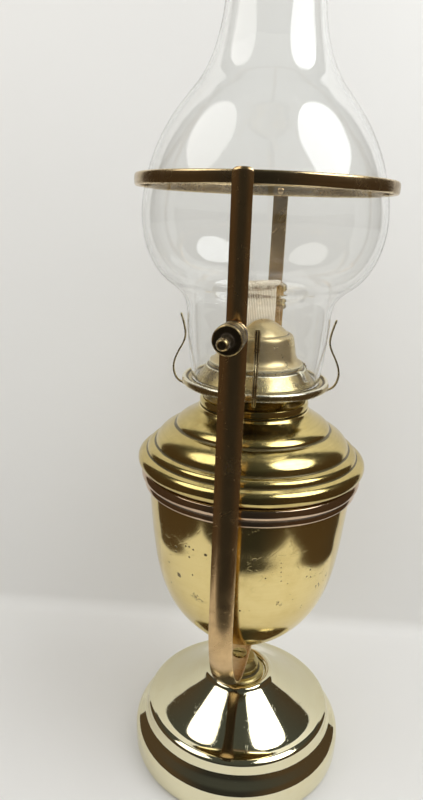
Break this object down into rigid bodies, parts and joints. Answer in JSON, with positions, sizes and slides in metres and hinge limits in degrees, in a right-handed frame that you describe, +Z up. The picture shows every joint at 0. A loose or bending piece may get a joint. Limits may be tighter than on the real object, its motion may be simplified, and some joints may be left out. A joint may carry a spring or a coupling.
{
  "type": "gimballed oil lamp",
  "caption": "Brass oil lamp that swings in a hoop yoke on a weighted stepped foot, with stepped font, flat-wick burner, sprung prongs, tall bulged glass chimney and chimney ring.",
  "frame": {"origin": "centre of the foot's underside, on the floor", "axes": "+Z up along the lamp; +Y along the gimbal's pivot axis, from the near arm to the far arm of the hoop; +X to the right"},
  "size_m": [0.1372, 0.1994, 0.5003],
  "materials": {
    "brass_polished": "pale bright mirror-polished brass",
    "brass_font": "worn yellow brass with dark pits and streaks",
    "brass_frame": "dark aged bronze-brown brass, brushed",
    "brass_ring": "dark coppery polished brass",
    "brass_burner": "pale satin brass with grime",
    "brass_spring": "dark spring brass",
    "iron": "rough dark cast iron",
    "felt": "green wool felt",
    "glass": "clear blown glass with a faint warm tint",
    "cotton": "knitted off-white cotton"
  },
  "bodies": {
    "stand": {"foot_shell": "brass_polished", "foot_ballast": "iron", "foot_plate": "brass_polished", "foot_felt": "felt"},
    "yoke": {"yoke_hoop": "brass_frame", "yoke_hub": "brass_font", "yoke_bolt": "brass_frame", "swivel_washer": "brass_frame", "swivel_nut": "brass_frame"},
    "gimbal": {"gimbal_strap_near": "brass_frame", "gimbal_strap_far": "brass_frame", "top_ring": "brass_frame", "font_ring": "brass_ring", "ring_lugs": "brass_frame", "strap_rivets": "brass_frame", "pivot_studs": "brass_frame", "pivot_washers": "brass_frame"},
    "nut_near": {"knob_near": "brass_frame"},
    "nut_far": {"knob_far": "brass_frame"},
    "font": {"font_bowl": "brass_font", "font_shoulder": "brass_font", "font_collar": "brass_burner"},
    "burner": {"wick_tube": "brass_burner", "burner_base": "brass_burner", "burner_basket": "brass_burner", "burner_gallery": "brass_burner", "burner_dome": "brass_burner"},
    "wick_drive": {"wick_spindle": "brass_spring", "wick_thumbwheel": "brass_spring"},
    "wick_strip": {"wick": "cotton"},
    "glass_chimney": {"chimney": "glass"},
    "spring_front": {"prong_front": "brass_spring"},
    "spring_right": {"prong_right": "brass_spring"},
    "spring_back": {"prong_back": "brass_spring"},
    "spring_left": {"prong_left": "brass_spring"}
  },
  "joints": [
    {"name": "yoke_swivel", "type": "hinge", "parent": "stand", "child": "yoke", "pos_m": [0, 0, 0.055], "axis": [0, 0, 1], "continuous": true},
    {"name": "gimbal_swing", "type": "hinge", "parent": "yoke", "child": "gimbal", "pos_m": [0, 0, 0.285], "axis": [0, 1, 0], "range_deg": [-90, 90]},
    {"name": "knob_near_turn", "type": "hinge", "parent": "gimbal", "child": "nut_near", "pos_m": [0, -0.08, 0.285], "axis": [0, -1, 0], "range_deg": [0, 720]},
    {"name": "knob_far_turn", "type": "hinge", "parent": "gimbal", "child": "nut_far", "pos_m": [0, 0.08, 0.285], "axis": [0, 1, 0], "range_deg": [0, 720]},
    {"name": "font_lift", "type": "slide", "parent": "gimbal", "child": "font", "axis": [0, 0, 1], "range_m": [0, 0.1]},
    {"name": "burner_turn", "type": "hinge", "parent": "font", "child": "burner", "pos_m": [0, 0, 0.236], "axis": [0, 0, 1], "range_deg": [0, 1080]},
    {"name": "wick_turn", "type": "hinge", "parent": "burner", "child": "wick_drive", "pos_m": [-0.00553, 0.00412, 0.2423], "axis": [0.5976, 0.8018, 0], "range_deg": [-70, 254]},
    {"name": "wick_raise", "type": "slide", "parent": "burner", "child": "wick_strip", "axis": [0, 0, 1], "range_m": [-0.022, 0.006]},
    {"name": "chimney_lift", "type": "slide", "parent": "burner", "child": "glass_chimney", "axis": [0, 0, 1], "range_m": [0, 0.12]},
    {"name": "prong_front_flex", "type": "hinge", "parent": "burner", "child": "spring_front", "pos_m": [0.0059, -0.04047, 0.2431], "axis": [0.9895, 0.1444, 0], "range_deg": [0, 6], "stiffness_Nm_per_rad": 0.08, "springref_deg": -2.86},
    {"name": "prong_right_flex", "type": "hinge", "parent": "burner", "child": "spring_right", "pos_m": [0.04047, 0.0059, 0.2431], "axis": [-0.1444, 0.9895, 0], "range_deg": [0, 6], "stiffness_Nm_per_rad": 0.08, "springref_deg": -2.86},
    {"name": "prong_back_flex", "type": "hinge", "parent": "burner", "child": "spring_back", "pos_m": [-0.0059, 0.04047, 0.2431], "axis": [-0.9895, -0.1444, 0], "range_deg": [0, 6], "stiffness_Nm_per_rad": 0.08, "springref_deg": -2.86},
    {"name": "prong_left_flex", "type": "hinge", "parent": "burner", "child": "spring_left", "pos_m": [-0.04047, -0.0059, 0.2431], "axis": [0.1444, -0.9895, 0], "range_deg": [0, 6], "stiffness_Nm_per_rad": 0.08, "springref_deg": -2.86}
  ],
  "couplings": [
    {"joint": "wick_turn", "follows": "wick_raise", "rad_per_m": -200}
  ]
}
